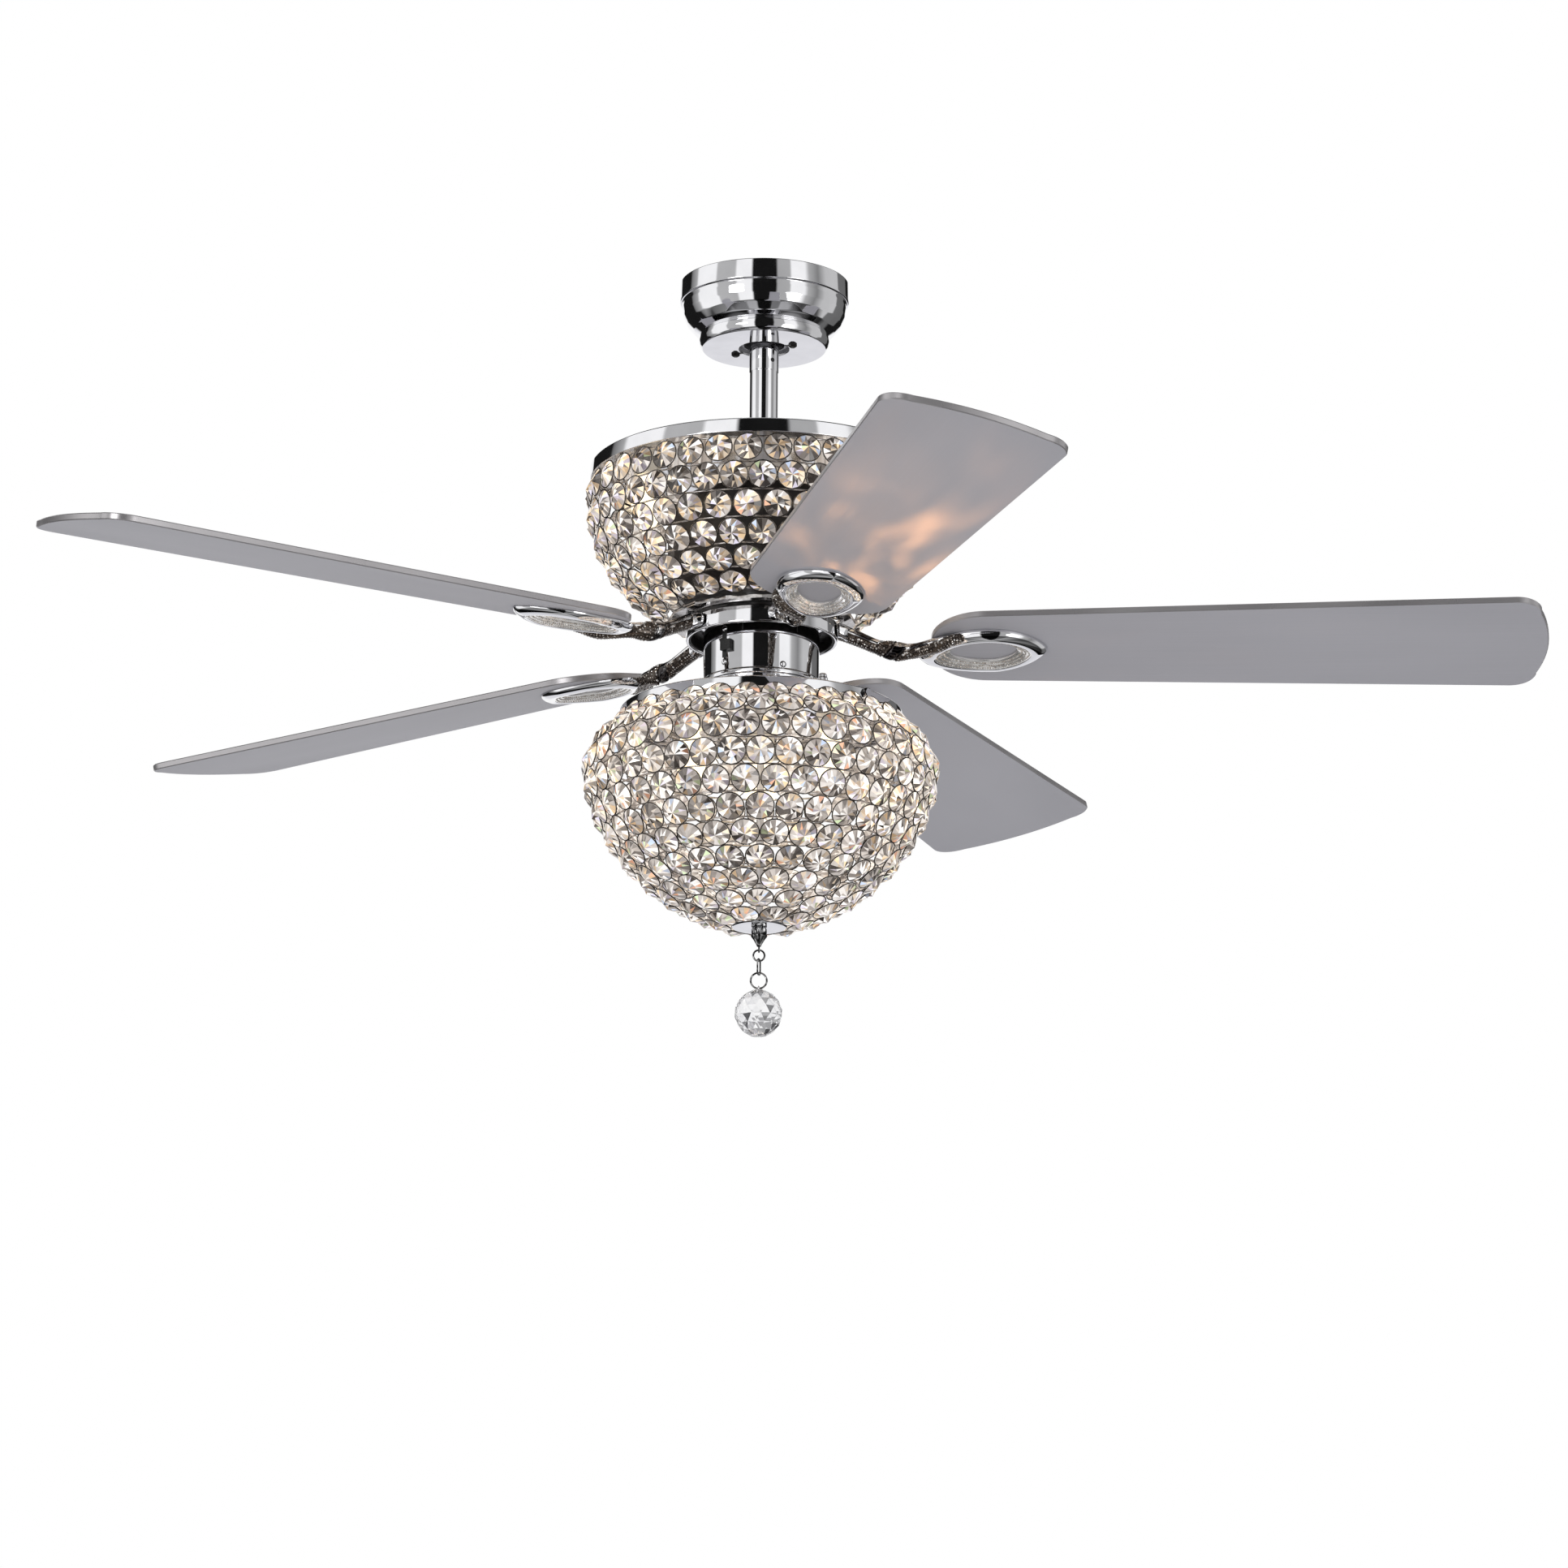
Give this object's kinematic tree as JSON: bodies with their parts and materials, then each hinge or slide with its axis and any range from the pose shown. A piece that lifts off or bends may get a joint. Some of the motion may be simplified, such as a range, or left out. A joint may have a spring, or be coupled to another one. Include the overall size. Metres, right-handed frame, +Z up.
{
  "type": "ceiling fan",
  "caption": "Ceiling fan with a short downrod, silver blades on looped chrome irons, a lamp-lit crystal basket above them, and a lamp-lit crystal bowl with a hanging crystal ball below.",
  "frame": {"origin": "middle of the ceiling bracket's top face, which lies against the ceiling", "axes": "+Z up along the downrod, +X to the right and +Y away from the camera in the picture"},
  "size_m": [1.2403, 1.274, 0.6594],
  "materials": {
    "chrome": "mirror-polished chrome plate",
    "bracket_steel": "plain zinc-plated steel",
    "dark_metal": "dark motor enamel",
    "satin_silver": "satin silver, finely brushed, with brighter polished edges",
    "crystal": "clear champagne-tinted faceted crystal in thin polished wire bezels",
    "lamp_holder": "off-white lamp-holder sleeve",
    "bulb_glass": "frosted warm lamp, lit",
    "black_plastic": "black moulded plastic"
  },
  "bodies": {
    "root": {"ceiling_bracket": "bracket_steel", "canopy": "chrome", "canopy_screw_1": "dark_metal", "canopy_screw_2": "dark_metal"},
    "hanging": {"hanger_ball": "black_plastic", "hanger_pin": "bracket_steel", "downrod": "chrome", "motor_yoke": "dark_metal", "yoke_pin": "bracket_steel", "top_plate": "chrome", "motor_shaft": "bracket_steel", "stator": "dark_metal", "upper_basket_frame": "chrome", "lower_basket_frame": "chrome", "upper_crystal_band_1": "crystal", "upper_crystal_band_2": "crystal", "upper_crystal_band_3": "crystal", "lower_crystal_band_1": "crystal", "lower_crystal_band_2": "crystal", "lower_crystal_band_3": "crystal", "lower_crystal_band_4": "crystal", "lower_crystal_band_5": "crystal", "lower_crystal_band_6": "crystal", "upper_lamp_holder_1": "lamp_holder", "upper_lamp_holder_2": "lamp_holder", "upper_lamp_holder_3": "lamp_holder", "upper_bulb_1": "bulb_glass", "upper_bulb_2": "bulb_glass", "upper_bulb_3": "bulb_glass", "lower_lamp_holder_1": "lamp_holder", "lower_lamp_holder_2": "lamp_holder", "lower_lamp_holder_3": "lamp_holder", "lower_bulb_1": "bulb_glass", "lower_bulb_2": "bulb_glass", "lower_bulb_3": "bulb_glass", "switch_housing": "chrome", "light_kit_plate": "chrome", "thumb_nut": "chrome", "tie_rod": "bracket_steel", "bottom_plate": "chrome", "finial": "chrome"},
    "rotor": {"rotor_cap_top": "dark_metal", "rotor_cap_bottom": "dark_metal", "flywheel": "chrome", "blade_iron_1": "chrome", "blade_iron_2": "chrome", "blade_iron_3": "chrome", "blade_iron_4": "chrome", "blade_iron_5": "chrome", "blade_1": "satin_silver", "blade_2": "satin_silver", "blade_3": "satin_silver", "blade_4": "satin_silver", "blade_5": "satin_silver"},
    "reverse_switch": {"reverse_switch": "black_plastic"},
    "chain_ring_1": {"chain_ring_1": "chrome"},
    "chain_link": {"chain_link": "chrome"},
    "chain_ring_2": {"chain_ring_2": "chrome"},
    "crystal_pull": {"crystal_ball": "crystal"}
  },
  "joints": [
    {"name": "hang_tilt", "type": "hinge", "parent": "root", "child": "hanging", "pos_m": [0, 0, -0.03], "axis": [1, 0, 0], "range_deg": [-8, 8]},
    {"name": "rotor_spin", "type": "hinge", "parent": "hanging", "child": "rotor", "pos_m": [0, 0, -0.3235], "axis": [0, 0, 1], "continuous": true},
    {"name": "reverse_slide", "type": "slide", "parent": "hanging", "child": "reverse_switch", "axis": [0, 0, 1], "range_m": [-0.0027, 0.0027]},
    {"name": "ring_1_swing", "type": "hinge", "parent": "hanging", "child": "chain_ring_1", "pos_m": [0, 0, -0.58635], "axis": [1, 0, 0], "range_deg": [-25, 25]},
    {"name": "link_swing", "type": "hinge", "parent": "chain_ring_1", "child": "chain_link", "pos_m": [0, 0, -0.59385], "axis": [0, 1, 0], "range_deg": [-25, 25]},
    {"name": "ring_2_swing", "type": "hinge", "parent": "chain_link", "child": "chain_ring_2", "pos_m": [0, 0, -0.60575], "axis": [1, 0, 0], "range_deg": [-25, 25]},
    {"name": "pull_swing", "type": "hinge", "parent": "chain_ring_2", "child": "crystal_pull", "pos_m": [0, 0, -0.61725], "axis": [0, 1, 0], "range_deg": [-25, 25]}
  ]
}
